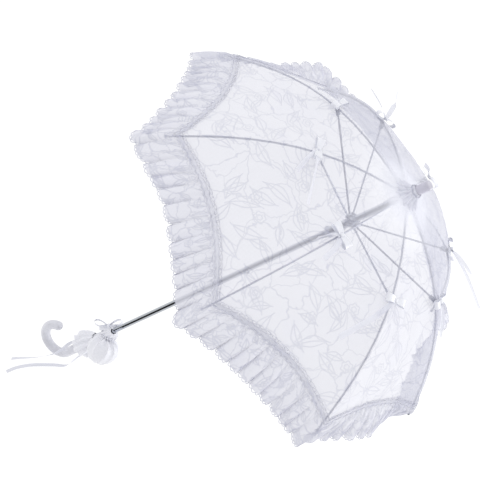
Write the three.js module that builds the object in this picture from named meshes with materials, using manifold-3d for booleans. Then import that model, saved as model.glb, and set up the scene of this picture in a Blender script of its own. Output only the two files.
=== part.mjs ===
// A hand-held lace parasol, open: a tubular steel shaft with a crook handle, eight pre-bent wire ribs held
// up by eight stretchers and a sliding runner, a lace canopy in eight gores, and a gathered ruffle at the rim.
// Millimetres, +Z up along the shaft towards the ferrule, origin on the shaft's axis at the middle of the grip.
import * as THREE from "three";
import { mergeVertices } from "three/addons/utils/BufferGeometryUtils.js";
import Module from "manifold-3d";

const wasm = await Module();
wasm.setup();

// Driving dimensions
const ribCount = 8;
const sector = (2 * Math.PI) / ribCount;
const gap = 0.3; // between pieces that touch on the real parasol

const notchZ = 605; // rib pivots above the grip
const pivotRadius = 8; // of the rib pivots in the notch and the stretcher pivots in the runner
const shaftRadius = 4;
const shaftWall = 0.6;
const shaftTopZ = notchZ + 26.5;

const ribLength = 281;
const rootSlope = THREE.MathUtils.degToRad(7); // below the horizontal at the notch
const tipSlope = THREE.MathUtils.degToRad(50); // below the horizontal at the rim
const jointArc = 120; // along the rib from its pivot to the stretcher's pivot
const rodRadius = 1.1;
const eyeRadius = 2;
const eyeThickness = 1.6;
const wireRadius = 0.5;
const wireHole = 0.9;
const rivetRadius = 0.65;
const rivetHole = 1.0;

const openDrop = 76; // stretcher pivots in the runner, below the rib pivots when open
const closeTravel = 155.9; // of the runner, from open to closed
const crownRadius = 9.5;
const slotWidth = 3;
const slotRoot = 5.6; // radius where the slots for the ribs and stretchers end
const sleeveRadius = 5.5;
const sleeveLength = 38;

const canopyLift = 2.5; // inside of the lace above the middle of the rib
const laceThickness = 1;
const apexArc = 3.6; // along the rib, where the gores begin
const rimArc = 272; // along the rib, where the gores end
const rimDip = 18; // how far the rim curves in between two ribs
const rimSteps = 6;
const ruffleWidth = 38;
const ruffleSlope = THREE.MathUtils.degToRad(50);
const ruffleEdge = 9; // depth of the gathers at the free edge

const crookRadius = 26.5;
const crookTurn = THREE.MathUtils.degToRad(223);
const crookAzimuth = THREE.MathUtils.degToRad(187.7);
const handleRadius = 7.5;
const handleTopZ = 57;
const straightBottomZ = -58;
const shaftInHandle = 34;

const latchAzimuth = sector / 2;
const ribbonWidth = 10;
const ribbonThickness = 0.8;

// Finishes
const finish = (name, color, roughness, metalness) =>
  new THREE.MeshStandardMaterial({ name, color, roughness, metalness });
const steel = () => finish("steel", 0xc9ccd2, 0.25, 1);
const springSteel = () => finish("spring_steel", 0x9aa0a8, 0.35, 1);
const whitePlastic = () => finish("white_plastic", 0xe6e8ee, 0.35, 0);
const lace = () => finish("lace", 0xf1f2f8, 0.85, 0);
const satin = () => finish("satin", 0xeceaf4, 0.45, 0);

const parasol = new THREE.Group();

function add(name, geometry, material, parent = parasol) {
  const mesh = new THREE.Mesh(geometry, material);
  mesh.name = name;
  parent.add(mesh);
  return mesh;
}

// Joining and cutting
function solid(geometry) {
  const bare = geometry.clone();
  bare.deleteAttribute("normal");
  bare.deleteAttribute("uv");
  const merged = mergeVertices(bare, 1e-4);
  const mesh = new wasm.Mesh({
    numProp: 3,
    vertProperties: new Float32Array(merged.attributes.position.array),
    triVerts: new Uint32Array(merged.index.array),
  });
  return new wasm.Manifold(mesh);
}

function shaped(base, { joined = [], cut = [] }) {
  let body = solid(base);
  for (const piece of joined) body = body.add(solid(piece));
  for (const piece of cut) body = body.subtract(solid(piece));
  const mesh = body.getMesh();
  return new THREE.BufferGeometry()
    .setAttribute("position", new THREE.BufferAttribute(mesh.vertProperties, 3))
    .setIndex(new THREE.BufferAttribute(mesh.triVerts, 1));
}

// Basic forms
function lathe(profile, segments = 20) {
  const points = profile.map(([r, z]) => new THREE.Vector2(r, z));
  return new THREE.LatheGeometry([...points, points[0]], segments).rotateX(Math.PI / 2);
}

function box(lengthX, lengthY, lengthZ, x, y, z) {
  return new THREE.BoxGeometry(lengthX, lengthY, lengthZ).translate(x, y, z);
}

// A pin or disc lying along Y, which is the hinge direction of the rib in the XZ plane.
function pin(radius, length, x, z, sides = 10) {
  return new THREE.CylinderGeometry(radius, radius, length, sides).translate(x, 0, z);
}

function ring(radius, tube, z, segments = 24, sides = 5) {
  return new THREE.TorusGeometry(radius, tube, sides, segments).translate(0, 0, z);
}

function polygonShape(radius, sides) {
  const corners = Array.from({ length: sides }, (_, i) => {
    const angle = (2 * Math.PI * (i + 0.5)) / sides;
    return new THREE.Vector2(radius * Math.cos(angle), radius * Math.sin(angle));
  });
  return new THREE.Shape(corners);
}

function sweep(section, curve, steps) {
  return new THREE.ExtrudeGeometry(section, { extrudePath: curve, steps, bevelEnabled: false });
}

const rod = (curve, steps, radius = rodRadius, sides = 6) => sweep(polygonShape(radius, sides), curve, steps);

// A flat outline in the XZ plane, given a thickness centred on Y.
function plate(outline, thickness) {
  const shape = new THREE.Shape(outline.map(([x, z]) => new THREE.Vector2(x, z)));
  return new THREE.ExtrudeGeometry(shape, { depth: thickness, bevelEnabled: false })
    .translate(0, 0, -thickness / 2)
    .rotateX(Math.PI / 2);
}

// A closed solid between two faces that are functions of (u, v), each from 0 to 1.
function solidBetween(top, bottom, uSteps, vSteps) {
  const positions = [];
  const index = [];
  for (const face of [top, bottom])
    for (let i = 0; i <= uSteps; i++)
      for (let j = 0; j <= vSteps; j++) positions.push(...face(i / uSteps, j / vSteps).toArray());
  const below = (uSteps + 1) * (vSteps + 1);
  const at = (i, j) => i * (vSteps + 1) + j;
  const quad = (a, b, c, d) => index.push(a, b, c, a, c, d);
  for (let i = 0; i < uSteps; i++)
    for (let j = 0; j < vSteps; j++) {
      const [a, b, c, d] = [at(i, j), at(i + 1, j), at(i + 1, j + 1), at(i, j + 1)];
      quad(a, b, c, d);
      quad(below + d, below + c, below + b, below + a);
    }
  for (let i = 0; i < uSteps; i++) {
    quad(at(i, 0), below + at(i, 0), below + at(i + 1, 0), at(i + 1, 0));
    quad(at(i + 1, vSteps), below + at(i + 1, vSteps), below + at(i, vSteps), at(i, vSteps));
  }
  for (let j = 0; j < vSteps; j++) {
    quad(at(0, j + 1), below + at(0, j + 1), below + at(0, j), at(0, j));
    quad(at(uSteps, j), below + at(uSteps, j), below + at(uSteps, j + 1), at(uSteps, j + 1));
  }
  return new THREE.BufferGeometry()
    .setAttribute("position", new THREE.Float32BufferAttribute(positions, 3))
    .setIndex(index);
}

// The rib's bent line in its own plane: its slope grows smoothly from the notch to the rim.
const ribSlope = (s) => THREE.MathUtils.lerp(rootSlope, tipSlope, THREE.MathUtils.smoothstep(s, 0, ribLength));

function ribAt(s, lift = 0) {
  const steps = 40;
  const ds = s / steps;
  let x = pivotRadius;
  let z = notchZ;
  for (let i = 0; i < steps; i++) {
    const slope = ribSlope((i + 0.5) * ds);
    x += ds * Math.cos(slope);
    z -= ds * Math.sin(slope);
  }
  return new THREE.Vector2(x + lift * Math.sin(ribSlope(s)), z + lift * Math.cos(ribSlope(s)));
}

const inPlane = ({ x, y }) => new THREE.Vector3(x, 0, y);
const joint = ribAt(jointArc);

// Shaft, notch, ferrule
const latchSlot = (z, height) =>
  box(8, 2.2, height, 4, 0, z + height / 2).rotateZ(latchAzimuth);

const runnerZ = notchZ - openDrop;
const topLatchZ = runnerZ - sleeveLength - gap;
const topLatchHeight = 19;
const lowLatchHeight = 10;
const lowLatchZ = runnerZ - closeTravel - 24.5;

function shaftTube() {
  const bottomZ = handleTopZ - shaftInHandle + 0.5;
  const inner = shaftRadius - shaftWall;
  const tube = lathe([
    [inner, bottomZ],
    [shaftRadius, bottomZ],
    [shaftRadius, shaftTopZ],
    [inner, shaftTopZ],
  ]);
  const slots = [
    latchSlot(topLatchZ - topLatchHeight - 0.6, topLatchHeight + 1.2),
    latchSlot(lowLatchZ - 0.6, lowLatchHeight + 1.2),
  ];
  return shaped(tube, { cut: slots });
}

function slots(fromZ, toZ, z) {
  const height = toZ - fromZ;
  const cutter = box(8, slotWidth, height, slotRoot + 4, 0, z + (fromZ + toZ) / 2);
  return Array.from({ length: ribCount }, (_, k) => cutter.clone().rotateZ(k * sector));
}

function notchCrown() {
  const bore = shaftRadius + gap;
  const body = lathe([
    [bore, notchZ - 4],
    [crownRadius, notchZ - 4],
    [crownRadius, notchZ + 4],
    [crownRadius - 1, notchZ + 5],
    [bore, notchZ + 5],
  ]);
  const wireWay = ring(pivotRadius, wireRadius + 0.4, notchZ);
  return shaped(body, { cut: [...slots(-5, 2.6, notchZ), wireWay] });
}

function ferruleCap() {
  const baseZ = notchZ + 13;
  const topZ = notchZ + 32;
  return lathe([
    [0, topZ],
    [0, shaftTopZ + gap],
    [shaftRadius + gap, shaftTopZ + gap],
    [shaftRadius + gap, baseZ],
    [5.6, baseZ],
    [5.8, topZ - 1],
    [4.8, topZ],
  ]);
}

// Runner: a slotted crown on a sleeve, with a window for the lower latch
function runnerBody() {
  const bore = shaftRadius + 0.35;
  const body = lathe([
    [bore, runnerZ - sleeveLength],
    [7.2, runnerZ - sleeveLength],
    [7.8, runnerZ - sleeveLength + 1.5],
    [sleeveRadius, runnerZ - sleeveLength + 5],
    [sleeveRadius, runnerZ - 4],
    [crownRadius, runnerZ - 4],
    [crownRadius, runnerZ + 3.5],
    [crownRadius - 1, runnerZ + 4.5],
    [bore, runnerZ + 4.5],
  ]);
  const window = box(6, 2.8, 11, 6, 0, runnerZ - 19.5).rotateZ(latchAzimuth);
  return shaped(body, { cut: [...slots(-5, 6, runnerZ), window] });
}

// Spring latches: teeth that stand out of the shaft's slots and press in
function latchTooth(z, height, flatTop) {
  const reach = flatTop ? 6.4 : 6;
  const [blunt, fine] = flatTop ? [z, z - height] : [z, z + height];
  const lip = blunt + Math.sign(fine - blunt) * 1.5;
  const outline = [
    [-0.4, blunt],
    [reach, blunt],
    [reach, lip],
    [3, fine],
    [-0.4, fine],
  ];
  return plate(outline, 1.4).rotateZ(latchAzimuth);
}

// Ribs, rivets and stretchers, made in the XZ plane
function ribWire() {
  const points = Array.from({ length: 13 }, (_, i) => inPlane(ribAt((ribLength * i) / 12)));
  const wire = rod(new THREE.CatmullRomCurve3(points), 12);
  const tip = ribAt(ribLength);
  const bead = new THREE.SphereGeometry(1.8, 6, 4).translate(tip.x, 0, tip.y);
  const eyes = [
    pin(eyeRadius, eyeThickness, pivotRadius, notchZ),
    pin(eyeRadius, eyeThickness, joint.x, joint.y),
  ];
  const holes = [
    pin(wireHole, 6, pivotRadius, notchZ, 8),
    pin(rivetHole, 6, joint.x, joint.y, 8),
  ];
  return shaped(wire, { joined: [...eyes, bead], cut: holes });
}

function rivet() {
  const headY = 2.75;
  const shank = pin(rivetRadius, 2 * headY, joint.x, joint.y, 6);
  const head = () => pin(1.5, 0.6, joint.x, joint.y, 8);
  const heads = [head().translate(0, headY, 0), head().translate(0, -headY, 0)];
  return shaped(shank, { joined: heads });
}

function stretcherBar() {
  const inner = new THREE.Vector3(pivotRadius, 0, runnerZ);
  const outer = inPlane(joint);
  const direction = outer.clone().sub(inner).normalize();
  const neck = outer.clone().addScaledVector(direction, -7);
  const bar = rod(new THREE.LineCurve3(inner, neck), 1, rodRadius, 8);
  const eye = pin(eyeRadius, eyeThickness, inner.x, inner.z);
  const angle = Math.atan2(direction.z, direction.x);
  const forkAt = (geometry) => geometry.rotateY(-angle).translate(outer.x, 0, outer.z);
  const bridge = forkAt(box(2.5, 4.6, 3, -7, 0, 0));
  const ear = (y) => forkAt(box(7.4, 0.8, 3, -3.4, y, 0));
  const earTip = (y) => pin(1.9, 0.8, outer.x, outer.z, 8).translate(0, y, 0);
  const sides = [1.9, -1.9];
  return shaped(bar, {
    joined: [eye, bridge, ...sides.map(ear), ...sides.map(earTip)],
    cut: [pin(rivetHole, 8, outer.x, outer.z, 8), pin(wireHole, 6, inner.x, inner.z, 8)],
  });
}

// Canopy: each gore is stretched straight across between two neighbouring ribs
function acrossGore(s, lift, v) {
  const { x, y: z } = ribAt(s, lift);
  const side = (azimuth, inward) =>
    new THREE.Vector3(
      x * Math.cos(azimuth) - inward * Math.sin(azimuth),
      x * Math.sin(azimuth) + inward * Math.cos(azimuth),
      z,
    );
  return side(0, gap / 2).lerp(side(sector, -gap / 2), v);
}

const rimAt = (v) => rimArc - rimDip * 4 * v * (1 - v);

function gore() {
  const face = (lift) => (u, v) => acrossGore(THREE.MathUtils.lerp(apexArc, rimAt(v), u), lift, v);
  return solidBetween(face(canopyLift + laceThickness), face(canopyLift), 7, rimSteps);
}

function ruffle() {
  const face = (side) => (u, v) => {
    const start = acrossGore(rimAt(v) + 2 * gap, canopyLift + laceThickness / 2, v);
    const azimuth = Math.atan2(start.y, start.x);
    const radial = new THREE.Vector3(Math.cos(azimuth), Math.sin(azimuth), 0);
    const half = (side * THREE.MathUtils.lerp(laceThickness, ruffleEdge, u)) / 2;
    const out = u * ruffleWidth * Math.cos(ruffleSlope) + half * Math.sin(ruffleSlope);
    const up = half * Math.cos(ruffleSlope) - u * ruffleWidth * Math.sin(ruffleSlope);
    return start.addScaledVector(radial, out).add(new THREE.Vector3(0, 0, up));
  };
  return solidBetween(face(1), face(-1), 2, rimSteps);
}

function rosette() {
  return lathe([
    [shaftRadius + gap, notchZ + 5.3],
    [15, notchZ + 5.3],
    [14, notchZ + 7],
    [8, notchZ + 9],
    [7, notchZ + 12.7],
    [shaftRadius + gap, notchZ + 12.7],
  ]);
}

// Handle: a straight grip that turns into a round crook
function crook() {
  const steps = 14;
  const path = new THREE.CurvePath();
  const bend = Array.from({ length: steps + 1 }, (_, i) => {
    const turn = (crookTurn * i) / steps;
    return new THREE.Vector3(
      crookRadius * (1 - Math.cos(turn)),
      0,
      straightBottomZ - crookRadius * Math.sin(turn),
    );
  });
  path.add(new THREE.LineCurve3(new THREE.Vector3(0, 0, handleTopZ), bend[0]));
  path.add(new THREE.CatmullRomCurve3(bend));
  const tube = rod(path, 28, handleRadius, 12);
  const end = bend[steps];
  const knob = new THREE.SphereGeometry(handleRadius, 12, 8).translate(end.x, 0, end.z);
  const bore = new THREE.CylinderGeometry(shaftRadius + gap, shaftRadius + gap, shaftInHandle, 16)
    .rotateX(Math.PI / 2)
    .translate(0, 0, handleTopZ - shaftInHandle / 2 + 0.01);
  return shaped(tube, { joined: [knob], cut: [bore] }).rotateZ(crookAzimuth);
}

function handleCollar() {
  const z = handleTopZ + gap;
  return lathe([
    [shaftRadius + gap, z],
    [8, z],
    [8, z + 2],
    [6, z + 4],
    [shaftRadius + gap, z + 4],
  ]);
}

// Trim on the handle: a lace puff, a gathered cuff, a ribbon bow and its two tails
function lacePuff() {
  const ball = new THREE.SphereGeometry(22, 12, 8).scale(1, 1, 1.08).translate(17.6, -15, 41);
  const clearOf = (radius, bottomZ, topZ) =>
    new THREE.CylinderGeometry(radius, radius, topZ - bottomZ, 16)
      .rotateX(Math.PI / 2)
      .translate(0, 0, (bottomZ + topZ) / 2);
  return shaped(ball, { cut: [clearOf(8.6, 0, 62), clearOf(4.6, 61, 90)] });
}

function laceCuff() {
  const inner = handleRadius + 0.6;
  return lathe([
    [inner, -12],
    [21, -12],
    [22, -8],
    [15, 8],
    [10, 20],
    [inner, 20],
  ]);
}

function ribbonBow() {
  const loops = [
    [-23, -6], [-25, 0], [-23, 6], [-12, 7], [-3, 3.5], [3, 3.5], [12, 7],
    [23, 6], [25, 0], [23, -6], [12, -7], [3, -3.5], [-3, -3.5], [-12, -7],
  ];
  const along = new THREE.Vector3(0.457, 0.529, 0.715).normalize();
  const top = new THREE.Vector3(-0.889, 0.303, 0.344).projectOnPlane(along).normalize();
  const turn = new THREE.Matrix4().makeBasis(along, top.clone().cross(along), top);
  return plate(loops, 8).applyMatrix4(turn).translate(-11.1, 3.8, handleTopZ + 13.3);
}

const tailRoutes = [
  [
    [-12, -10, -16], [-12, -14, -27], [-9, -18, -45], [-8, -18, -67],
    [-12, -16, -102], [-19, -13, -137], [-26, -10, -167], [-31, -9, -189],
  ],
  [
    [12, -15, -16], [14, -18, -27], [17, -21, -41], [16, -21, -56],
    [8, -20, -80], [-7, -26, -122], [-14, -24, -167], [-15, -20, -204],
  ],
];

function ribbonTail(route) {
  const curve = new THREE.CatmullRomCurve3(route.map((point) => new THREE.Vector3(...point)));
  const [w, t] = [ribbonWidth / 2, ribbonThickness / 2];
  const section = new THREE.Shape([
    new THREE.Vector2(-t, -w),
    new THREE.Vector2(t, -w),
    new THREE.Vector2(t, w),
    new THREE.Vector2(-t, w),
  ]);
  return sweep(section, curve, 16);
}

add("shaft", shaftTube(), steel());
add("top_notch", notchCrown(), steel());
add("notch_wire", ring(pivotRadius, wireRadius, notchZ), springSteel());
add("ferrule_cap", ferruleCap(), whitePlastic());
add("canopy_rosette", rosette(), lace());
add("runner", runnerBody(), steel());
add("top_latch", latchTooth(topLatchZ, topLatchHeight, true), springSteel());
add("lower_latch", latchTooth(lowLatchZ, lowLatchHeight, false), springSteel());
add("crook_handle", crook(), whitePlastic());
add("handle_collar", handleCollar(), steel());
add("handle_puff", lacePuff(), satin());
add("handle_cuff", laceCuff(), satin());
add("handle_bow", ribbonBow(), satin());
tailRoutes.forEach((route, i) => add(`ribbon_tail_${i + 1}`, ribbonTail(route), satin()));

for (let k = 0; k < ribCount; k++) {
  const spoke = new THREE.Group();
  spoke.rotation.z = k * sector;
  parasol.add(spoke);
  const number = k + 1;
  add(`rib_${number}`, ribWire(), springSteel(), spoke);
  add(`rivet_${number}`, rivet(), steel(), spoke);
  add(`stretcher_${number}`, stretcherBar(), steel(), spoke);
  add(`gore_${number}`, gore(), lace(), spoke);
  add(`ruffle_${number}`, ruffle(), lace(), spoke);
}

export default parasol;
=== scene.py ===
import math
import bpy
from mathutils import Matrix, Vector, noise


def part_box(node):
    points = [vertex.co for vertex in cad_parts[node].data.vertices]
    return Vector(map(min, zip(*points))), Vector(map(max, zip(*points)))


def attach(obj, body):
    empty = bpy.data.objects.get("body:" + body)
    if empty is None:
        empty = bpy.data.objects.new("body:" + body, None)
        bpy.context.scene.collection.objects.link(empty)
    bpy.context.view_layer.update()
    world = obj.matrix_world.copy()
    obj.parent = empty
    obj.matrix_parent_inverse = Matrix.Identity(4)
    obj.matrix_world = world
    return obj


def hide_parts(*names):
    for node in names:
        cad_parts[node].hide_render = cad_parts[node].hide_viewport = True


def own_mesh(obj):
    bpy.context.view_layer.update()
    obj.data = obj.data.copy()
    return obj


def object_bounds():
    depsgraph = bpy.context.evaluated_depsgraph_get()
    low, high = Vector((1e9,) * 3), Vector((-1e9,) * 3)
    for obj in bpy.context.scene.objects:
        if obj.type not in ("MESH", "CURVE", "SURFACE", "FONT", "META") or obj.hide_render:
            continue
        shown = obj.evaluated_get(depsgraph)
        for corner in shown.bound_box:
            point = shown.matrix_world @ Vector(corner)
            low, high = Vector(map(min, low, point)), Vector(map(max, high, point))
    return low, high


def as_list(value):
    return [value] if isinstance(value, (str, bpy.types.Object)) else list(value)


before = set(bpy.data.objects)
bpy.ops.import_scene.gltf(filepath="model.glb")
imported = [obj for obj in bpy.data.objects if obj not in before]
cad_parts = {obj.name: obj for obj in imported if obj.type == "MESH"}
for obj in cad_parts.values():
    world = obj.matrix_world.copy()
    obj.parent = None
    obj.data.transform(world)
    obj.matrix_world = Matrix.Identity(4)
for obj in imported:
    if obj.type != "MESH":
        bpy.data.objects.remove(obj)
cadBox = [list(corner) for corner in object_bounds()]
print("frame loaded:", len(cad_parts), "nodes")

mm = 0.001
scene = bpy.context.scene
upward = Vector((0, 0, 1))


def deg(angle):
    return math.radians(angle)


def blendTo(a, b, share):
    return a + (b - a) * share


def easeIn(share):
    share = min(1.0, max(0.0, share))
    return share * share * (3 - 2 * share)


# The frame's own measures
wireLow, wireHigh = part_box("notch_wire")
notchHeight = (wireLow[2] + wireHigh[2]) / 2
pivotRadius = wireHigh[0] - 0.5 * mm
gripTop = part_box("crook_handle")[1][2]
ribCount = 8
sector = 2 * math.pi / ribCount

camera = dict(
    lens=57.37,
    place=(-0.0577, -0.8233, 1.0050),
    looks=(0.03508, 0.79241, -0.60898),
    top=(-0.88882, 0.30334, 0.34366),
)


def makeCamera():
    data = bpy.data.cameras.new("camera")
    data.lens = camera["lens"]
    data.sensor_width = 36
    data.clip_start = 0.01
    data.clip_end = 50
    eye = bpy.data.objects.new("camera", data)
    scene.collection.objects.link(eye)
    back = -Vector(camera["looks"]).normalized()
    right = Vector(camera["top"]).cross(back).normalized()
    top = back.cross(right)
    turn = Matrix((right, top, back)).transposed()
    eye.matrix_world = Matrix.Translation(camera["place"]) @ turn.to_4x4()
    scene.camera = eye


makeCamera()


# Node trees
def place(tree, kind, inputs=None, **settings):
    node = tree.nodes.new(kind)
    for key, value in settings.items():
        setattr(node, key, value)
    for key, value in (inputs or {}).items():
        if isinstance(value, bpy.types.NodeSocket):
            tree.links.new(value, node.inputs[key])
        else:
            node.inputs[key].default_value = value
    return node


def calc(tree, operation, *terms, clamp=False):
    inputs = dict(enumerate(terms))
    node = place(tree, "ShaderNodeMath", inputs, operation=operation, use_clamp=clamp)
    return node.outputs[0]


def ramp(tree, value, low, high, fromValue=0.0, toValue=1.0):
    inputs = {"Value": value, "From Min": low, "From Max": high, "To Min": fromValue, "To Max": toValue}
    node = place(tree, "ShaderNodeMapRange", inputs, interpolation_type="SMOOTHSTEP")
    return node.outputs["Result"]


def mixColour(tree, share, first, second):
    inputs = {"Factor": share, 6: first, 7: second}
    return place(tree, "ShaderNodeMix", inputs, data_type="RGBA").outputs[2]


def newGroup(name, inputs, outputs):
    tree = bpy.data.node_groups.new(name, "ShaderNodeTree")
    for label, kind, value in inputs:
        socket = tree.interface.new_socket(name=label, in_out="INPUT", socket_type=kind)
        if value is not None:
            socket.default_value = value
    for label, kind in outputs:
        tree.interface.new_socket(name=label, in_out="OUTPUT", socket_type=kind)
    given = tree.nodes.new("NodeGroupInput").outputs
    result = tree.nodes.new("NodeGroupOutput")
    return tree, given, result


def useGroup(tree, group, inputs):
    node = tree.nodes.new("ShaderNodeGroup")
    node.node_tree = group
    for key, value in inputs.items():
        if isinstance(value, bpy.types.NodeSocket):
            tree.links.new(value, node.inputs[key])
        else:
            node.inputs[key].default_value = value
    return node.outputs


number, vector, colour = "NodeSocketFloat", "NodeSocketVector", "NodeSocketColor"


# One leaf in each cell of a loose scatter: its outline with a middle vein, and its inside
def makeLeafMotif():
    inputs = [("Plan", vector, None), ("Cell", number, 0.03), ("Long", number, 0.013),
              ("Wide", number, 0.005), ("Line", number, 0.0006)]
    tree, given, result = newGroup("leafMotif", inputs, [("Outline", number), ("Inside", number)])
    scale = calc(tree, "DIVIDE", 1.0, given["Cell"])
    cells = place(tree, "ShaderNodeTexVoronoi", {"Vector": given["Plan"], "Scale": scale, "Randomness": 0.75},
                  voronoi_dimensions="2D")
    local = place(tree, "ShaderNodeVectorMath", {0: given["Plan"], 1: cells.outputs["Position"]},
                  operation="SUBTRACT").outputs[0]
    flat = place(tree, "ShaderNodeVectorMath", {0: local, 1: (1.0, 1.0, 0.0)},
                 operation="MULTIPLY").outputs[0]
    chance = place(tree, "ShaderNodeSeparateColor", {"Color": cells.outputs["Color"]})
    angle = calc(tree, "MULTIPLY", chance.outputs[0], 6.283)
    turned = place(tree, "ShaderNodeVectorRotate", {"Vector": flat, "Angle": angle}, rotation_type="Z_AXIS")
    along, across = place(tree, "ShaderNodeSeparateXYZ", {0: turned.outputs[0]}).outputs[:2]
    bent = calc(tree, "MULTIPLY", calc(tree, "MULTIPLY", along, along), 9.0)  # a slight curl
    aside = calc(tree, "ABSOLUTE", calc(tree, "ADD", across, bent))
    reach = calc(tree, "DIVIDE", calc(tree, "ABSOLUTE", along), given["Long"])
    shape = calc(tree, "SUBTRACT", 1.0, calc(tree, "POWER", reach, 1.6))
    edge = calc(tree, "MULTIPLY", calc(tree, "MAXIMUM", shape, 0.0), given["Wide"])
    within = calc(tree, "LESS_THAN", reach, 1.0)
    distance = calc(tree, "ABSOLUTE", calc(tree, "SUBTRACT", aside, edge))
    outline = calc(tree, "MULTIPLY", ramp(tree, distance, given["Line"], 0.0), within)
    vein = calc(tree, "MULTIPLY", ramp(tree, aside, given["Line"], 0.0), calc(tree, "LESS_THAN", reach, 1.25))
    inside = calc(tree, "MULTIPLY", calc(tree, "LESS_THAN", aside, edge), within)
    tree.links.new(calc(tree, "MAXIMUM", outline, vein), result.inputs["Outline"])
    tree.links.new(inside, result.inputs["Inside"])
    return tree


# Small flowers of concentric rings
def makeRingFlower():
    inputs = [("Plan", vector, None), ("Cell", number, 0.05), ("Radius", number, 0.006),
              ("Line", number, 0.0006)]
    tree, given, result = newGroup("ringFlower", inputs, [("Rings", number), ("Inside", number)])
    scale = calc(tree, "DIVIDE", 1.0, given["Cell"])
    cells = place(tree, "ShaderNodeTexVoronoi", {"Vector": given["Plan"], "Scale": scale, "Randomness": 0.8},
                  voronoi_dimensions="2D")
    local = place(tree, "ShaderNodeVectorMath", {0: given["Plan"], 1: cells.outputs["Position"]},
                  operation="SUBTRACT").outputs[0]
    flat = place(tree, "ShaderNodeVectorMath", {0: local, 1: (1.0, 1.0, 0.0)},
                 operation="MULTIPLY").outputs[0]
    away = place(tree, "ShaderNodeVectorMath", {0: flat}, operation="LENGTH").outputs["Value"]
    east, north = place(tree, "ShaderNodeSeparateXYZ", {0: flat}).outputs[:2]
    angle = calc(tree, "ARCTAN2", north, east)
    petal = calc(tree, "MULTIPLY", calc(tree, "COSINE", calc(tree, "MULTIPLY", angle, 6.0)), 0.12)
    size = calc(tree, "MULTIPLY", given["Radius"], calc(tree, "ADD", petal, 1.0))
    share = calc(tree, "DIVIDE", away, size)
    outer = calc(tree, "ABSOLUTE", calc(tree, "SUBTRACT", away, size))
    inner = calc(tree, "ABSOLUTE", calc(tree, "SUBTRACT", away, calc(tree, "MULTIPLY", size, 0.45)))
    rings = ramp(tree, calc(tree, "MINIMUM", outer, inner), given["Line"], 0.0)
    tree.links.new(rings, result.inputs["Rings"])
    tree.links.new(calc(tree, "LESS_THAN", share, 1.0), result.inputs["Inside"])
    return tree


# The whole lace ground: fine net, stems, leaves, flowers and closely worked patches
def makeLaceWork(leafMotif, ringFlower):
    inputs = [("Plan", vector, None), ("Size", number, 1.0), ("Line", number, 0.0006)]
    outputs = [("Thread", number), ("Worked", number), ("Net", number)]
    tree, given, result = newGroup("laceWork", inputs, outputs)
    shrink = calc(tree, "DIVIDE", 1.0, given["Size"])
    plan = place(tree, "ShaderNodeVectorMath", {0: given["Plan"], "Scale": shrink},
                 operation="SCALE").outputs[0]
    drift = place(tree, "ShaderNodeTexNoise", {"Vector": plan, "Scale": 70.0, "Detail": 2.0},
                  noise_dimensions="2D")
    centred = place(tree, "ShaderNodeVectorMath", {0: drift.outputs["Color"], 1: (0.5, 0.5, 0.5)},
                    operation="SUBTRACT").outputs[0]
    wander = place(tree, "ShaderNodeVectorMath", {0: centred, "Scale": 0.014}, operation="SCALE").outputs[0]
    loose = place(tree, "ShaderNodeVectorMath", {0: plan, 1: wander}, operation="ADD").outputs[0]
    thread = None
    for stemCell, offset, strength in ((0.040, (0.0, 0.0, 0.0), 1.0), (0.062, (0.31, 0.17, 0.0), 0.8)):
        shifted = place(tree, "ShaderNodeVectorMath", {0: loose, 1: offset}, operation="ADD").outputs[0]
        stems = place(tree, "ShaderNodeTexVoronoi",
                      {"Vector": shifted, "Scale": 1 / stemCell, "Randomness": 1.0},
                      voronoi_dimensions="2D", feature="DISTANCE_TO_EDGE")
        stemAway = calc(tree, "MULTIPLY", stems.outputs["Distance"], stemCell)
        stem = ramp(tree, stemAway, calc(tree, "MULTIPLY", given["Line"], 1.1), 0.0, 0.0, strength)
        thread = stem if thread is None else calc(tree, "MAXIMUM", thread, stem)
    worked = None
    leaves = [(0.044, 0.0150, 0.0056, (0.0, 0.0, 0.0)), (0.056, 0.0170, 0.0060, (0.113, 0.067, 0.0)),
              (0.050, 0.0110, 0.0045, (0.231, 0.149, 0.0))]
    for cell, halfLong, halfWide, offset in leaves:
        shifted = place(tree, "ShaderNodeVectorMath", {0: plan, 1: offset}, operation="ADD").outputs[0]
        leaf = useGroup(tree, leafMotif, {"Plan": shifted, "Cell": cell, "Long": halfLong, "Wide": halfWide,
                                          "Line": given["Line"]})
        thread = calc(tree, "MAXIMUM", thread, leaf["Outline"])
        worked = leaf["Inside"] if worked is None else calc(tree, "MAXIMUM", worked, leaf["Inside"])
    flower = useGroup(tree, ringFlower, {"Plan": plan, "Cell": 0.064, "Radius": 0.0062,
                                         "Line": given["Line"]})
    thread = calc(tree, "MAXIMUM", thread, flower["Rings"])
    patches = place(tree, "ShaderNodeTexNoise", {"Vector": plan, "Scale": 15.0, "Detail": 2.0},
                    noise_dimensions="2D")
    patch = ramp(tree, patches.outputs[0], 0.56, 0.64)
    hatchSum = place(tree, "ShaderNodeVectorMath", {0: plan, 1: (0.7, 0.7, 0.0)}, operation="DOT_PRODUCT")
    hatch = calc(tree, "SINE", calc(tree, "MULTIPLY", hatchSum.outputs["Value"], 4200.0))
    hatched = ramp(tree, hatch, -0.8, 0.8, 0.65, 1.0)
    worked = calc(tree, "MULTIPLY", calc(tree, "MULTIPLY", worked, patch), hatched)
    worked = calc(tree, "MAXIMUM", worked, calc(tree, "MULTIPLY", patch, 0.55))
    netPitch = 0.0012
    mesh = place(tree, "ShaderNodeTexVoronoi",
                 {"Vector": given["Plan"], "Scale": 1 / netPitch, "Randomness": 0.12},
                 voronoi_dimensions="2D", feature="DISTANCE_TO_EDGE")
    net = ramp(tree, mesh.outputs["Distance"], 0.22, 0.06)
    tree.links.new(thread, result.inputs["Thread"])
    tree.links.new(worked, result.inputs["Worked"])
    tree.links.new(net, result.inputs["Net"])
    return tree


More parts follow.
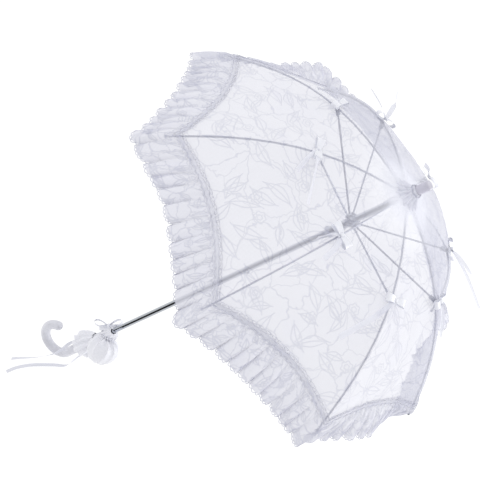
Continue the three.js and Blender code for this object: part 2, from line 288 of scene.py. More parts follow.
# Fine scratches and hand marks for anything hard
def makeHandling():
    inputs = [("Size", number, 60.0), ("Low", number, 0.1), ("High", number, 0.2)]
    tree, given, result = newGroup("handling", inputs, [("Roughness", number), ("Marks", number)])
    where = place(tree, "ShaderNodeNewGeometry").outputs["Position"]
    marks = place(tree, "ShaderNodeTexNoise", {"Vector": where, "Scale": given["Size"], "Detail": 5.0,
                                               "Roughness": 0.6})
    value = marks.outputs[0]
    tree.links.new(ramp(tree, value, 0.35, 0.7, given["Low"], given["High"]), result.inputs["Roughness"])
    tree.links.new(value, result.inputs["Marks"])
    return tree


leafMotif = makeLeafMotif()
ringFlower = makeRingFlower()
laceWork = makeLaceWork(leafMotif, ringFlower)
handling = makeHandling()


def newMaterial(name, shader):
    material = bpy.data.materials.new(name)
    material.use_nodes = True
    tree = material.node_tree
    tree.nodes.clear()
    principled = place(tree, "ShaderNodeBsdfPrincipled", shader)
    output = place(tree, "ShaderNodeOutputMaterial")
    tree.links.new(principled.outputs[0], output.inputs["Surface"])
    return material, tree, principled


def hardMaterial(name, tone, metallic, low, high, size=60.0, coat=0.0):
    shader = {"Metallic": metallic, "Coat Weight": coat, "Coat Roughness": 0.12}
    material, tree, principled = newMaterial(name, shader)
    marks = useGroup(tree, handling, {"Size": size, "Low": low, "High": high})
    dull = tuple(0.86 * part for part in tone)
    shade = mixColour(tree, ramp(tree, marks["Marks"], 0.3, 0.75), (*tone, 1), (*dull, 1))
    tree.links.new(shade, principled.inputs["Base Color"])
    tree.links.new(marks["Roughness"], principled.inputs["Roughness"])
    bump = place(tree, "ShaderNodeBump", {"Height": marks["Marks"], "Strength": 0.04, "Distance": 0.0004})
    tree.links.new(bump.outputs[0], principled.inputs["Normal"])
    return material


laceLook = dict(
    ground=(0.665, 0.67, 0.75),
    thread=(0.51, 0.52, 0.63),
    worked=(0.645, 0.65, 0.75),
    top=(0.80, 0.81, 0.89),  # doubled cloth by the ferrule
    bleached=(0.83, 0.84, 0.93),
)


def laceMaterial(name, netShare, workedShare, threadShare, size=1.0, line=0.0007, pale=0.0, doubled=False):
    material, tree, principled = newMaterial(name, {"Roughness": 0.9, "Sheen Weight": 0.15})
    plan = place(tree, "ShaderNodeAttribute", attribute_name="plan").outputs["Vector"]
    work = useGroup(tree, laceWork, {"Plan": plan, "Size": size, "Line": line})
    ground, worked, threadTone = (tuple(Vector(laceLook[key]).lerp(Vector(laceLook["bleached"]), pale))
                                  for key in ("ground", "worked", "thread"))
    tone = mixColour(tree, work["Worked"], (*ground, 1), (*worked, 1))
    tone = mixColour(tree, work["Thread"], tone, (*threadTone, 1))
    net = ramp(tree, work["Net"], 0.0, 1.0, netShare * 0.92, netShare * 1.1)
    if doubled:
        fromTop = place(tree, "ShaderNodeSeparateXYZ", {0: plan}).outputs["Y"]
        near = ramp(tree, fromTop, 0.085, 0.018)
        tone = mixColour(tree, near, tone, (*laceLook["top"], 1))
        net = calc(tree, "MAXIMUM", net, calc(tree, "MULTIPLY", near, 0.93))
    tree.links.new(tone, principled.inputs["Base Color"])
    cover = calc(tree, "MAXIMUM", net, calc(tree, "MULTIPLY", work["Worked"], workedShare))
    cover = calc(tree, "MAXIMUM", cover, calc(tree, "MULTIPLY", work["Thread"], threadShare), clamp=True)
    tree.links.new(cover, principled.inputs["Alpha"])
    height = calc(tree, "ADD", calc(tree, "MULTIPLY", work["Thread"], 1.0),
                  calc(tree, "MULTIPLY", work["Worked"], 0.4))
    bump = place(tree, "ShaderNodeBump", {"Height": height, "Strength": 0.5, "Distance": 0.0005})
    tree.links.new(bump.outputs[0], principled.inputs["Normal"])
    return material


def satinMaterial(name, tone, cover, roughness=0.38):
    shader = {"Roughness": roughness, "Sheen Weight": 0.3, "Sheen Roughness": 0.4, "Alpha": cover}
    material, tree, principled = newMaterial(name, shader)
    plan = place(tree, "ShaderNodeAttribute", attribute_name="plan").outputs["Vector"]
    spread = place(tree, "ShaderNodeVectorMath", {0: plan, 1: (1.0, 14.0, 1.0)},
                   operation="MULTIPLY").outputs[0]
    ribs = place(tree, "ShaderNodeTexNoise", {"Vector": spread, "Scale": 220.0, "Detail": 3.0})
    dull = tuple(0.9 * part for part in tone)
    shade = mixColour(tree, ramp(tree, ribs.outputs[0], 0.35, 0.7), (*tone, 1), (*dull, 1))
    tree.links.new(shade, principled.inputs["Base Color"])
    bump = place(tree, "ShaderNodeBump", {"Height": ribs.outputs[0], "Strength": 0.25, "Distance": 0.0003})
    tree.links.new(bump.outputs[0], principled.inputs["Normal"])
    return material


chrome = hardMaterial("chrome", (0.62, 0.65, 0.70), 1.0, 0.06, 0.16)
springWire = hardMaterial("springWire", (0.40, 0.42, 0.48), 1.0, 0.10, 0.20, size=140.0)
satinSteel = hardMaterial("satinSteel", (0.80, 0.82, 0.86), 1.0, 0.28, 0.40)
wireSteel = hardMaterial("wireSteel", (0.34, 0.36, 0.41), 1.0, 0.08, 0.18, size=90.0)
pearlPlastic = hardMaterial("pearlPlastic", (0.70, 0.705, 0.765), 0.0, 0.28, 0.42, size=45.0, coat=0.4)
ferrulePlastic = hardMaterial("ferrulePlastic", (0.60, 0.59, 0.68), 0.0, 0.30, 0.45, size=60.0, coat=0.3)
goreLace = laceMaterial("goreLace", 0.62, 0.74, 0.76, line=0.0010, doubled=True)
ruffleLace = laceMaterial("ruffleLace", 0.76, 0.84, 0.88, size=0.6, line=0.0014)
trimLace = laceMaterial("trimLace", 0.50, 0.66, 0.74, size=0.5, line=0.0010, pale=0.15)
topLace = laceMaterial("topLace", 0.94, 0.96, 0.97, size=0.4, line=0.0008, pale=0.6)
threadCord = satinMaterial("threadCord", (0.60, 0.61, 0.71), 0.85, 0.7)
satinRibbon = satinMaterial("satinRibbon", (0.84, 0.85, 0.91), 1.0)
sheerRibbon = satinMaterial("sheerRibbon", (0.70, 0.71, 0.79), 0.92)
paleRibbon = satinMaterial("paleRibbon", (0.78, 0.79, 0.87), 0.78)
organza = satinMaterial("organza", (0.86, 0.865, 0.92), 0.96, 0.4)


# Meshes
def newPiece(name, body, slot, material, points, faces, plans=None):
    mesh = bpy.data.meshes.new(name)
    mesh.from_pydata([tuple(point) for point in points], [], faces)
    mesh.polygons.foreach_set("use_smooth", [True] * len(mesh.polygons))
    if plans:
        layer = mesh.attributes.new("plan", "FLOAT_VECTOR", "POINT")
        for index, spot in enumerate(plans):
            layer.data[index].vector = spot
    mesh.materials.append(material)
    mesh.update()
    piece = bpy.data.objects.new(name, mesh)
    scene.collection.objects.link(piece)
    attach(piece, body)
    return piece


def gridFaces(rows, columns, start=0, around=False):
    faces = []
    wide = columns if around else columns - 1
    for r in range(rows - 1):
        for c in range(wide):
            n = (c + 1) % columns
            faces.append((start + r * columns + c, start + r * columns + n,
                          start + (r + 1) * columns + n, start + (r + 1) * columns + c))
    return faces


def gridParts(rows, columns, pointAt, planAt):
    points, plans = [], []
    for r in range(rows):
        for c in range(columns):
            u, v = r / (rows - 1), c / (columns - 1)
            points.append(pointAt(u, v))
            plans.append(planAt(u, v))
    return points, gridFaces(rows, columns), plans


def tubeParts(path, radius, sides=6, start=0):
    points, faces, plans = [], [], []
    side = None
    walked = 0.0
    for index, centre in enumerate(path):
        before = path[max(0, index - 1)]
        after = path[min(len(path) - 1, index + 1)]
        heading = (after - before).normalized()
        if side is None:
            side = heading.orthogonal().normalized()
        side = (side - heading * side.dot(heading)).normalized()
        other = heading.cross(side)
        walked += (centre - before).length
        for step in range(sides):
            angle = 2 * math.pi * step / sides
            points.append(centre + (side * math.cos(angle) + other * math.sin(angle)) * radius)
            plans.append((angle * radius, walked, 0.0))
    faces += gridFaces(len(path), sides, start, around=True)
    faces.append(tuple(start + step for step in reversed(range(sides))))
    faces.append(tuple(start + (len(path) - 1) * sides + step for step in range(sides)))
    return points, faces, plans


def joinParts(parts):
    points, faces, plans = [], [], []
    for somePoints, someFaces, somePlans in parts:
        shift = len(points)
        points += somePoints
        plans += somePlans
        faces += [tuple(index + shift for index in face) for face in someFaces]
    return points, faces, plans


# Canopy
rib = dict(length=281 * mm, rootSlope=deg(7), tipSlope=deg(50), joint=120 * mm)
canopy = dict(lift=3.0 * mm, apex=3.6 * mm, rim=272 * mm, dip=18 * mm, pucker=0.8 * mm,
              sags=(1.0, -6.0, -2.0, 3.0, 3.0, 3.0, 3.0, 2.0))  # millimetres, one for each gore
ribTable = []


def fillRibTable():
    steps = 400
    step = rib["length"] * 1.05 / steps
    radius, height = pivotRadius, notchHeight
    for index in range(steps + 1):
        slope = ribSlope(index * step)
        ribTable.append((radius, height, slope))
        middle = ribSlope((index + 0.5) * step)
        radius += step * math.cos(middle)
        height -= step * math.sin(middle)


def ribSlope(s):
    return blendTo(rib["rootSlope"], rib["tipSlope"], easeIn(s / rib["length"]))


def ribAt(s, lift=0.0):
    steps = len(ribTable) - 1
    place = s / (rib["length"] * 1.05) * steps
    index = min(steps - 1, max(0, int(place)))
    share = place - index
    radius, height, slope = (blendTo(a, b, share) for a, b in zip(ribTable[index], ribTable[index + 1]))
    return radius + lift * math.sin(slope), height + lift * math.cos(slope)


fillRibTable()


def azimuthOf(place):
    return place * sector  # place counts ribs: 0 at rib_1, 1 at rib_2


def acrossGore(gore, s, v, lift):
    radius, height = ribAt(s, lift)
    first, second = azimuthOf(gore), azimuthOf(gore + 1)
    start = Vector((radius * math.cos(first), radius * math.sin(first), height))
    end = Vector((radius * math.cos(second), radius * math.sin(second), height))
    return start.lerp(end, v)


def outwardAt(gore, s, v):
    slope = ribSlope(s)
    azimuth = azimuthOf(gore + 0.5)
    return Vector((math.cos(azimuth) * math.sin(slope), math.sin(azimuth) * math.sin(slope), math.cos(slope)))


def rimArc(v):
    return canopy["rim"] - canopy["dip"] * 4 * v * (1 - v)


def clothAt(gore, u, v, extra=0.0):
    s = blendTo(canopy["apex"], rimArc(v), u)
    point = acrossGore(gore, s, v, canopy["lift"] + extra)
    belly = 4 * v * (1 - v)
    fold = noise.noise(Vector((gore * 3.7 + 9 * v, u * 2.2, 4.1)))
    fold += 0.5 * noise.noise(Vector((21 * v, 3 * u, gore)))
    depth = -canopy["sags"][gore] * mm * belly * math.sin(math.pi * u)
    depth += canopy["pucker"] * fold * 2 * min(1, belly * 3) * u
    return point + outwardAt(gore, s, v) * depth


def planOf(gore, s, v):
    radius = ribAt(s)[0]
    return ((v - 0.5) * 2 * radius * math.sin(sector / 2) + 0.6 * gore, s, 0.0)


halves = [(gore, side) for gore in range(ribCount) for side in (0, 1)]
trims = {half: [] for half in halves}  # braid and edge cord, which go with each half ruffle


def halfName(base, gore, side):
    return f"{base}_{gore + 1}_{'ab'[side]}"


def ribOf(gore, side):
    return (gore + side) % ribCount


def foldsWith(piece):
    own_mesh(piece)


def goreFlat():
    width = 2 * ribAt(canopy["rim"])[0] * math.sin(sector / 2) / 2
    return width, canopy["rim"] - canopy["apex"]


def makeGores():
    rows, columns = 46, 15
    for gore, side in halves:
        def pointAt(u, v):
            return clothAt(gore, u, (v + side) / 2)

        def planAt(u, v):
            across = (v + side) / 2
            return planOf(gore, blendTo(canopy["apex"], rimArc(across), u), across)

        number = ribOf(gore, side)
        parts = gridParts(rows, columns, pointAt, planAt)
        piece = newPiece(halfName("canopy_lace", gore, side), f"rib_{number + 1}", "lace", goreLace, *parts)
        width, length = goreFlat()
        foldsWith(piece)
        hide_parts(f"gore_{gore + 1}")


ruffle = dict(
    lobes=11, wave=4.6 * mm, sway=2.6 * mm, gather=0.8 * mm,
    # how the free edge hangs, every 22.5 degrees from rib_1: degrees below the horizontal, and width
    slopes=(95, 72, 15, -8, -10, 0, 0, 45, 62, 58, 58, 42, 50, 48, 72, 45),
    widths=(32, 36, 42, 44, 42, 38, 40, 44, 58, 54, 46, 44, 40, 44, 40, 42),
)


def aroundCanopy(values, place):
    spot = place * 2 % len(values)
    index = int(spot)
    return blendTo(values[index], values[(index + 1) % len(values)], easeIn(spot - index))


def ruffleAt(gore, u, v):
    place = gore + v
    azimuth = azimuthOf(place)
    ring = Vector((math.cos(azimuth), math.sin(azimuth), 0))
    along = Vector((-ring.y, ring.x, 0))
    slope = deg(aroundCanopy(ruffle["slopes"], place))
    width = aroundCanopy(ruffle["widths"], place) * mm * (1 + 0.08 * noise.noise(ring * 3.3))
    start = clothAt(gore, 1.0, v)
    wander = 0.5 * noise.noise(ring * 6.0)
    phase = 2 * math.pi * (ruffle["lobes"] * place + wander)
    strength = 0.8 + 0.6 * noise.noise(ring * 9.0 + Vector((0, 0, 5)))
    turn = blendTo(ribSlope(canopy["rim"]), slope, easeIn(u * 2.5))
    out = ring * math.cos(turn) - upward * math.sin(turn)
    face = ring * math.sin(turn) + upward * math.cos(turn)
    ridge = abs(math.cos(phase / 2))
    reach = u * width * (0.80 + 0.20 * ridge ** 0.5)
    depth = ruffle["wave"] * strength * u ** 0.7 * (2 * ridge ** 0.75 - 1) + 2.5 * mm * math.sin(math.pi * u)
    depth += ruffle["gather"] * math.sin(phase * 3) * math.exp(-u * 3)
    aside = ruffle["sway"] * strength * u * math.sin(phase)
    return start + out * reach + face * depth + along * aside


def makeRuffles():
    rows, columns = 13, 80
    for gore, side in halves:
        def pointAt(u, v):
            return ruffleAt(gore, u, (v + side) / 2)

        def planAt(u, v):
            across = (v + side) / 2
            return ((gore + across) * 0.30, u * 0.040, 0.0)

        number = ribOf(gore, side)
        parts = gridParts(rows, columns, pointAt, planAt)
        piece = newPiece(halfName("ruffle_lace", gore, side), f"rib_{number + 1}", "lace", ruffleLace, *parts)
        halfName("canopy_lace", gore, side)
        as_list(trims[gore, side])
        foldsWith(piece)
        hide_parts(f"ruffle_{gore + 1}")


# Braid along the rim and corded edges
braid = dict(width=6.5 * mm, above=1.0 * mm, loop=9 * mm, loopDepth=3.4 * mm, cord=0.38 * mm, inset=1 * mm)


def rimPoint(gore, v, inward, above):
    s = rimArc(v) - inward
    u = (s - canopy["apex"]) / (rimArc(v) - canopy["apex"])
    return clothAt(gore, u, v, above)


def makeBraids():
    for gore, side in halves:
        number = ribOf(gore, side)
        span = 2 * ribAt(canopy["rim"])[0] * math.sin(sector / 2)
        loops = round(span / braid["loop"] / 2) * 2

        def bandAt(u, v):
            across = (v + side) / 2
            wave = 0.5 * mm * math.sin(2 * math.pi * loops * across)
            above = braid["above"] + 0.4 * mm * math.sin(math.pi * u)
            return rimPoint(gore, across, u * braid["width"] + wave, above)

        def bandPlan(u, v):
            return planOf(gore, u * braid["width"], (v + side) / 2)

        parts = [gridParts(4, 90, bandAt, bandPlan)]
        steps = loops * 7
        for offset, depth, phase in ((braid["width"], braid["loopDepth"], 0), (braid["inset"], 1.6 * mm, 1)):
            path = []
            for step in range(steps + 1):
                across = (step / steps + side) / 2
                turn = 2 * math.pi * loops * across + phase
                shift = 0.32 / loops * math.sin(2 * turn) * (1 if depth > 2 * mm else 0)
                spot = min(1, max(0, across + shift))
                reach = offset + depth * (0.5 - 0.5 * math.cos(turn))
                path.append(rimPoint(gore, spot, reach, braid["above"] + 0.6 * mm))
            parts.append(tubeParts(path, braid["cord"], 5))
        piece = newPiece(halfName("rim_braid", gore, side), f"rib_{number + 1}", "lace", trimLace,
                         *joinParts(parts))
        foldsWith(piece)
        trims[gore, side].append(piece)


edgeCord = dict(radius=0.38 * mm, picots=30, depth=0.045, steps=240)


def makeEdgeCords():
    steps = edgeCord["steps"]
    for gore, side in halves:
        number = ribOf(gore, side)
        path = []
        for step in range(steps + 1):
            share = step / steps
            loop = abs(math.sin(math.pi * edgeCord["picots"] * share))
            path.append(ruffleAt(gore, 1.0 + edgeCord["depth"] * loop, (share + side) / 2))
        parts = tubeParts(path, edgeCord["radius"], 5)
        piece = newPiece(halfName("ruffle_cord", gore, side), f"rib_{number + 1}", "lace", threadCord, *parts)
        foldsWith(piece)
        trims[gore, side].append(piece)


# Bows of narrow satin ribbon
def ribbonParts(path, sideways, widthAt, crown=0.0):
    points, plans = [], []
    walked = 0.0
    for index, centre in enumerate(path):
        share = index / (len(path) - 1)
        walked += (centre - path[max(0, index - 1)]).length
        ahead = path[min(len(path) - 1, index + 1)] - path[max(0, index - 1)]
        across = sideways(share) if callable(sideways) else sideways
        across = (across - ahead.normalized() * across.dot(ahead.normalized())).normalized()
        lift = across.cross(ahead.normalized())
        half = widthAt(share) / 2
        for step in range(5):
            place = step / 2 - 1
            points.append(centre + across * half * place + lift * crown * (1 - place * place))
            plans.append((half * place, walked, 0.0))
    return points, gridFaces(len(path), 5), plans


def smoothPath(corners, steps):
    corners = [Vector(corner) for corner in corners]
    ends = [corners[0] * 2 - corners[1]] + corners + [corners[-1] * 2 - corners[-2]]
    path = []
    count = len(corners) - 1
    for index in range(steps + 1):
        place = min(count - 1e-6, index / steps * count)
        k, t = int(place), place - int(place)
        a, b, c, d = ends[k:k + 4]
        path.append(0.5 * ((2 * b) + (c - a) * t + (2 * a - 5 * b + 4 * c - d) * t * t
                           + (3 * b - a - 3 * c + d) * t ** 3))
    return path


def loopParts(centre, outward, facing, long, high, width):
    sideways = facing.cross(outward).normalized()
    path = []
    for step in range(25):
        angle = 2 * math.pi * step / 24
        swell = (1 - math.cos(angle)) / 2
        path.append(centre + outward * long * swell + facing * high * math.sin(angle) * (0.35 + 0.65 * swell))
    return ribbonParts(path, sideways, lambda share: width * (0.45 + 0.55 * math.sin(math.pi * share)),
                       0.3 * mm)


def knotParts(centre, outward, facing, size):
    points, plans = [], []
    sideways = facing.cross(outward)
    rows, columns = 7, 12
    for r in range(rows):
        for c in range(columns):
            v, angle = r / (rows - 1) * 2 - 1, 2 * math.pi * c / columns
            bulge = 1 - 0.25 * v * v
            points.append(centre + sideways * v * size * 0.75
                          + (outward * math.cos(angle) * 0.8 + facing * math.sin(angle) * 0.7) * size * bulge)
            plans.append((angle * size, v * size, 0.0))
    faces = gridFaces(rows, columns, around=True)
    faces += [tuple(reversed(range(columns))), tuple((rows - 1) * columns + c for c in range(columns))]
    return points, faces, plans


jointBow = dict(above=2.2 * mm, loop=15 * mm, loopHigh=4.2 * mm, width=9.5 * mm, tailWidth=6 * mm,
                knot=3.0 * mm)
# for each rib: how the tails lie, as (along the rib, around the canopy, off the cloth) in millimetres
tailLies = [
    [(38, -14, 3), (30, 20, 2)],
    [(58, -56, 22), (16, -30, 20)],
    [(30, 16, 3), (26, -18, 3)],
    [(60, 4, 9), (22, 2, 34)],
    [(30, 14, 4), (26, -16, 3)],
    [(14, 80, 6), (26, 40, 5)],
    [(34, 12, 3), (30, -10, 3)],
    [(66, -66, 4), (26, -24, 3)],
]


def makeJointBows():
    for number in range(ribCount):
        azimuth = azimuthOf(number)
        slope = ribSlope(rib["joint"])
        radius, height = ribAt(rib["joint"], canopy["lift"] + jointBow["above"])
        ring = Vector((math.cos(azimuth), math.sin(azimuth), 0))
        around = Vector((-ring.y, ring.x, 0))
        down = ring * math.cos(slope) - upward * math.sin(slope)
        off = ring * math.sin(slope) + upward * math.cos(slope)
        centre = ring * radius + upward * height
        tilt = 0.5 * noise.noise(ring * 5)
        outward = (around * math.cos(tilt) + down * math.sin(tilt)).normalized()
        parts = [loopParts(centre + off * mm, way * outward, off, jointBow["loop"], jointBow["loopHigh"],
                           jointBow["width"]) for way in (1, -1)]
        parts.append(knotParts(centre + off * 1.5 * mm, outward, off, jointBow["knot"]))
        piece = newPiece(f"joint_bow_{number + 1}", f"rib_{number + 1}", "satin", satinRibbon,
                         *joinParts(parts))
        foldsWith(piece)
        for index, (along, side, lift) in enumerate(tailLies[number]):
            end = centre + (down * along + around * side + off * lift) * mm
            middle = centre.lerp(end, 0.5) + off * 3 * mm + around * (2 - 4 * index) * mm
            path = smoothPath([centre, centre.lerp(middle, 0.4) + off * 1.5 * mm, middle, end], 24)

            def across(share):
                return around * math.cos(0.8 * share + index) + down * 0.5 + off * 0.5 * math.sin(2.5 * share)

            def widthAt(share):
                return jointBow["tailWidth"] * (0.55 + 0.45 * min(1, share * 4))

            parts = ribbonParts(path, across, widthAt, 0.4 * mm)
            tail = newPiece(f"joint_tail_{number + 1}_{'ab'[index]}", f"rib_{number + 1}", "satin",
                            paleRibbon, *parts)
            length = sum((b - a).length for a, b in zip(path, path[1:]))
            foldsWith(tail)


# The gathered top round the ferrule
topGather = dict(low=604.6 * mm, high=621 * mm, wide=21 * mm, neck=6.4 * mm, folds=15)


def makeTopGather():
    def pointAt(u, v):
        angle = 2 * math.pi * v
        base = blendTo(topGather["neck"], topGather["wide"], (1 - u) ** 1.8)
        fold = math.sin(angle * topGather["folds"] + 1.3 * math.sin(3 * angle))
        radius = base + fold * 1.1 * mm * math.sin(math.pi * min(1, 0.25 + u)) + 0.8 * mm * fold * (1 - u)
        height = blendTo(topGather["low"], topGather["high"], u) + 0.5 * mm * math.sin(2 * angle) * (1 - u)
        return Vector((radius * math.cos(angle), radius * math.sin(angle), height))

    def planAt(u, v):
        return (v * 0.09, u * 0.018, 0.0)

    piece = newPiece("top_gather", "handle_and_shaft", "lace", topLace, *gridParts(14, 181, pointAt, planAt))
    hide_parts("canopy_rosette")
    frill = []
    for step in range(121):
        angle = 2 * math.pi * step / 120
        radius = topGather["neck"] + 1.0 * mm
        frill.append(Vector((radius * math.cos(angle), radius * math.sin(angle),
                             topGather["high"] - 3 * mm + 0.5 * mm * math.sin(5 * angle))))
    tie = newPiece("top_tie", "handle_and_shaft", "lace", threadCord, *tubeParts(frill, 0.9 * mm, 7))


# Handle and its trim
crook = dict(radius=7.5 * mm, bend=26.5 * mm, turn=deg(223), azimuth=deg(187.7), straightEnd=-58 * mm)


def crookPath():
    path = [Vector((0, 0, blendTo(gripTop, crook["straightEnd"], step / 14))) for step in range(14)]
    for step in range(61):
        turn = crook["turn"] * step / 60
        out = crook["bend"] * (1 - math.cos(turn))
        path.append(Vector((out * math.cos(crook["azimuth"]), out * math.sin(crook["azimuth"]),
                            crook["straightEnd"] - crook["bend"] * math.sin(turn))))
    heading = (path[-1] - path[-2]).normalized()
    return path, heading


def makeCrook():
    path, heading = crookPath()
    points, faces, plans = [], [], []
    sides = 28
    edge = Vector((-math.sin(crook["azimuth"]), math.cos(crook["azimuth"]), 0))
    rings = [(centre, 1.0) for centre in path]
    rings += [(path[-1] + heading * crook["radius"] * math.sin(turn), math.cos(turn))
              for turn in (deg(18), deg(36), deg(54), deg(70), deg(83))]
    rings = [(path[0], 0.88), (path[0] - upward * 1.2 * mm, 1.0)] + rings[1:]
    for index, (centre, share) in enumerate(rings):
        nearer = rings[max(0, index - 1)][0]
        further = rings[min(len(rings) - 1, index + 1)][0]
        ahead = (further - nearer).normalized()
        other = ahead.cross(edge)
        for step in range(sides):
            angle = 2 * math.pi * step / sides
            spoke = edge * math.cos(angle) + other * math.sin(angle)
            points.append(centre + spoke * crook["radius"] * share)
            plans.append((angle * crook["radius"], index * 0.002, 0.0))
    faces += gridFaces(len(rings), sides, around=True)
    faces.append(tuple(reversed(range(sides))))
    faces.append(tuple((len(rings) - 1) * sides + step for step in range(sides)))
    piece = newPiece("crook", "handle_and_shaft", "white_plastic", pearlPlastic, points, faces, plans)
    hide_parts("crook_handle")


pouch = dict(centre=(17.6 * mm, -15 * mm, 41 * mm), mouth=(-0.60, 0.30, 0.74), radius=25 * mm, folds=11)


def makePouch():
    mouth = Vector(pouch["mouth"]).normalized()
    first = mouth.orthogonal().normalized()
    second = mouth.cross(first)
    centre = Vector(pouch["centre"])

    def pointAt(u, v):
        angle = 2 * math.pi * v
        rise = blendTo(deg(4), deg(179.5), u)
        wander = 1.4 * noise.noise(Vector((math.cos(angle), math.sin(angle), u * 1.5)))
        fold = math.sin(angle * pouch["folds"] + wander * 2)
        crease = -abs(math.sin(angle * pouch["folds"] / 2 + wander)) ** 0.6
        deep = math.exp(-u * 3.2)
        spot = Vector((math.cos(angle) * 1.4, math.sin(angle) * 1.4, u * 3))
        radius = pouch["radius"] * (1 + 0.045 * noise.noise(spot))
        radius *= 1 + 0.15 * crease * (0.35 + deep) + 0.03 * fold * (1 - u)
        dip = pouch["radius"] * 0.10 * math.exp(-u * 9)
        ring = first * math.cos(angle) + second * math.sin(angle)
        point = ring * radius * math.sin(rise) + mouth * (radius * math.cos(rise) * 0.96 - dip)
        return centre + point

    def planAt(u, v):
        return (v * 0.14, u * 0.06, 0.0)

    piece = newPiece("handle_pouch", "handle_and_shaft", "satin", organza,
                     *gridParts(54, 157, pointAt, planAt))
    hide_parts("handle_puff")
    lip = []
    lipSteps = 144
    for step in range(lipSteps + 1):
        angle = 2 * math.pi * step / lipSteps
        ring = first * math.cos(angle) + second * math.sin(angle)
        size = pouch["radius"] * (0.30 + 0.03 * math.sin(angle * 13))
        height = pouch["radius"] * 0.86 + 1.2 * mm * math.sin(13 * angle + 1)
        lip.append(centre + ring * size + mouth * height)
    return newPiece("pouch_lip", "handle_and_shaft", "satin", satinRibbon, *tubeParts(lip, 0.7 * mm, 6))


gripGather = dict(low=46 * mm, high=65 * mm, wide=13.5 * mm, neck=5.2 * mm, foot=9 * mm, folds=12)


def makeGripGather(lip):
    def pointAt(u, v):
        angle = 2 * math.pi * v
        wander = noise.noise(Vector((math.cos(angle) * 1.5, math.sin(angle) * 1.5, u * 2)))
        fold = math.sin(angle * gripGather["folds"] + 2.5 * wander)
        swell = math.sin(math.pi * u) ** 0.7
        ends = blendTo(gripGather["foot"], gripGather["neck"], u)
        radius = blendTo(ends, gripGather["wide"], swell) + 1.3 * mm * fold * swell
        radius += 1.5 * mm * wander * swell
        height = blendTo(gripGather["low"], gripGather["high"], u) + 0.8 * mm * math.sin(2 * angle + 1)
        return Vector((radius * math.cos(angle), radius * math.sin(angle), height))

    def planAt(u, v):
        return (v * 0.08, u * 0.03, 0.0)

    piece = newPiece("grip_gather", "handle_and_shaft", "satin", organza,
                     *gridParts(22, 145, pointAt, planAt))


cuff = dict(low=-12 * mm, high=20 * mm, folds=11)


def makeCuff():
    def pointAt(u, v):
        angle = 2 * math.pi * v
        height = blendTo(cuff["high"] + 2 * mm, cuff["low"] - 1 * mm, u)
        flare = blendTo(9.0, 21.0, easeIn(u * 1.25)) * mm
        wander = noise.noise(Vector((math.cos(angle) * 1.3, math.sin(angle) * 1.3, u * 2)))
        fold = math.sin(angle * cuff["folds"] + 2.2 * wander)
        radius = flare * (1 + 0.10 * wander) + (0.7 + 1.7 * u) * mm * fold
        height += 1.6 * mm * u * math.sin(2 * angle + 1) + 0.9 * mm * u * fold
        return Vector((radius * math.cos(angle), radius * math.sin(angle), height))

    def planAt(u, v):
        return (v * 0.13, u * 0.04, 0.0)

    def underAt(u, v):
        point = pointAt(1.0, v)
        inner = Vector((point.x, point.y, 0)).normalized() * 8.2 * mm + upward * (cuff["low"] + 9 * mm)
        return point.lerp(inner, u) + upward * 2.5 * mm * math.sin(math.pi * u)

    parts = joinParts([gridParts(26, 181, pointAt, planAt), gridParts(8, 181, underAt, planAt)])
    piece = newPiece("handle_frill", "handle_and_shaft", "satin", organza, *parts)
    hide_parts("handle_cuff")


handleBow = dict(centre=(-9.5 * mm, -3.5 * mm, 63 * mm), along=(0.457, 0.529, 0.715),
                 top=(-0.889, 0.303, 0.344))


def makeHandleBow():
    along = Vector(handleBow["along"]).normalized()
    top = Vector(handleBow["top"]).normalized()
    facing = top.cross(along).normalized()
    centre = Vector(handleBow["centre"])
    parts = []
    for way in (1, -1):
        outward = (way * along * 0.9 + top * 0.36).normalized()
        opening = (top * 0.9 - way * along * 0.36 + facing * 0.45).normalized()
        parts.append(loopParts(centre, outward, opening, 23 * mm, 6.0 * mm, 8.5 * mm))
        outward = (way * along * 0.95 + top * (0.05 * way - 0.1)).normalized()
        parts.append(loopParts(centre + facing * mm, outward, facing, 15 * mm, 4.0 * mm, 8 * mm))
    parts.append(knotParts(centre, along, facing, 3.6 * mm))
    piece = newPiece("handle_ribbon_bow", "handle_and_shaft", "satin", satinRibbon, *joinParts(parts))
    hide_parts("handle_bow")


tailRoutes = [
    [(-12, -10, -16), (-12, -14, -27), (-9, -18, -45), (-8, -18, -67), (-12, -16, -102), (-19, -13, -137),
     (-26, -10, -167), (-31, -9, -189)],
    [(12, -15, -16), (14, -18, -27), (17, -21, -41), (16, -21, -56), (8, -20, -80), (-7, -26, -122),
     (-14, -24, -167), (-15, -20, -204)],
]
tail = dict(width=5.5 * mm, declared=10 * mm)


def makeHandleTails():
    for number, route in enumerate(tailRoutes):
        path = smoothPath([Vector(point) * mm for point in route], 80)

        def across(share):
            return Vector((math.cos(2.2 * share + number), math.sin(2.2 * share + number), 0.25))

        parts = ribbonParts(path, across,
                            lambda share: tail["width"] * (0.6 + 0.4 * min(1, 6 * share)), 0.6 * mm)
        piece = newPiece(f"handle_tail_{number + 1}", "handle_and_shaft", "satin", sheerRibbon, *parts)
        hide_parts(f"ribbon_tail_{number + 1}")
        length = sum((b - a).length for a, b in zip(path, path[1:]))


makeGores()
makeBraids()
makeEdgeCords()
makeRuffles()
print("canopy, ruffles and braid made")
makeJointBows()
makeTopGather()
makeCrook()
makeGripGather(makePouch())
makeCuff()
makeHandleBow()
makeHandleTails()
print("bows and handle made")


# Carried-over hard pieces
def finishNode(name, material, angle=35):
    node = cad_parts[name]
    node.data.materials.clear()
    node.data.materials.append(material)
    node.data.polygons.foreach_set("use_smooth", [True] * len(node.data.polygons))
    node.data.set_sharp_from_angle(angle=deg(angle))


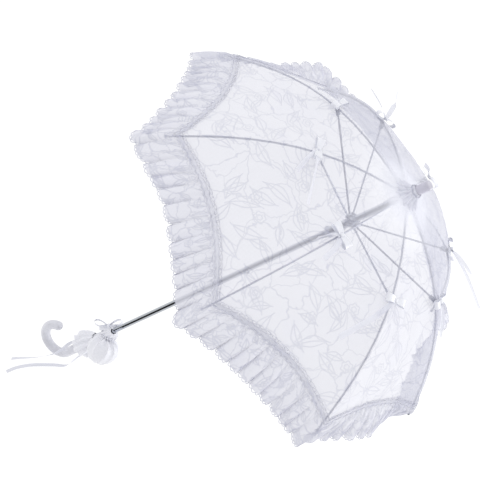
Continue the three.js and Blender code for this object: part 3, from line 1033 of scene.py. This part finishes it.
def finishNodes():
    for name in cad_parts:
        base = name.rsplit("_", 1)[0]
        if name in ("shaft", "runner", "top_notch"):
            finishNode(name, chrome)
        elif base in ("stretcher", "rivet"):
            finishNode(name, wireSteel)
        elif name == "handle_collar":
            finishNode(name, satinSteel)
        elif name == "ferrule_cap":
            finishNode(name, ferrulePlastic)
        elif base == "rib" or name in ("notch_wire", "top_latch", "lower_latch"):
            finishNode(name, springWire)


finishNodes()


# Stage and light
stage = dict(floorDrop=2 * mm, floorSize=30.0, floorGlow=0.84, room=0.95)


def makeStage():
    half = stage["floorSize"] / 2
    height = cadBox[0][2] - stage["floorDrop"]
    mesh = bpy.data.meshes.new("floor")
    corners = [(-half, -half, height), (half, -half, height), (half, half, height), (-half, half, height)]
    mesh.from_pydata(corners, [], [(0, 1, 2, 3)])
    material, tree, principled = newMaterial("floorWhite", {
        "Base Color": (0.2, 0.2, 0.205, 1), "Roughness": 0.9,
        "Emission Color": (1, 1, 1, 1), "Emission Strength": stage["floorGlow"]})
    mesh.materials.append(material)
    floor = bpy.data.objects.new("floor", mesh)
    scene.collection.objects.link(floor)
    floor.visible_glossy = False


def makeRoom():
    world = bpy.data.worlds.new("room")
    scene.world = world
    world.use_nodes = True
    tree = world.node_tree
    tree.nodes.clear()
    where = place(tree, "ShaderNodeTexCoord").outputs["Generated"]
    height = place(tree, "ShaderNodeSeparateXYZ", {0: where}).outputs["Z"]
    beyond = place(tree, "ShaderNodeSeparateXYZ", {0: where}).outputs["Y"]
    mirrored = ramp(tree, height, 0.78, 0.9, 0.01, 1.0)  # a soft box overhead in a dark room
    screen = ramp(tree, beyond, -0.66, -0.36, 0.0, 0.85)  # and a pale screen
    mirrored = calc(tree, "MAXIMUM", mirrored, screen)
    path = place(tree, "ShaderNodeLightPath")
    glossy = path.outputs["Is Glossy Ray"]
    soft = calc(tree, "MULTIPLY", calc(tree, "SUBTRACT", 1.0, glossy), stage["room"])
    light = calc(tree, "ADD", calc(tree, "MULTIPLY", glossy, mirrored), soft)
    shown = calc(tree, "MAXIMUM", light, path.outputs["Is Camera Ray"])
    background = place(tree, "ShaderNodeBackground", {"Color": (1.0, 1.0, 1.0, 1), "Strength": shown})
    output = place(tree, "ShaderNodeOutputWorld")
    tree.links.new(background.outputs[0], output.inputs["Surface"])


def makeLamp(name, spot, target, size, power):
    data = bpy.data.lights.new(name, "AREA")
    data.shape = "DISK"
    data.size = size
    data.energy = power
    lamp = bpy.data.objects.new(name, data)
    lamp.location = spot
    lamp.rotation_euler = (Vector(target) - Vector(spot)).to_track_quat("-Z", "Y").to_euler()
    scene.collection.objects.link(lamp)


makeStage()
makeRoom()
makeLamp("keyLamp", (-1.6, -0.2, 2.2), (0, 0, 0.5), 1.2, 6)
makeLamp("fillLamp", (1.6, 1.2, 1.3), (0, 0, 0.5), 1.4, 17)
scene.view_settings.view_transform = "Standard"
print("stage and light made")
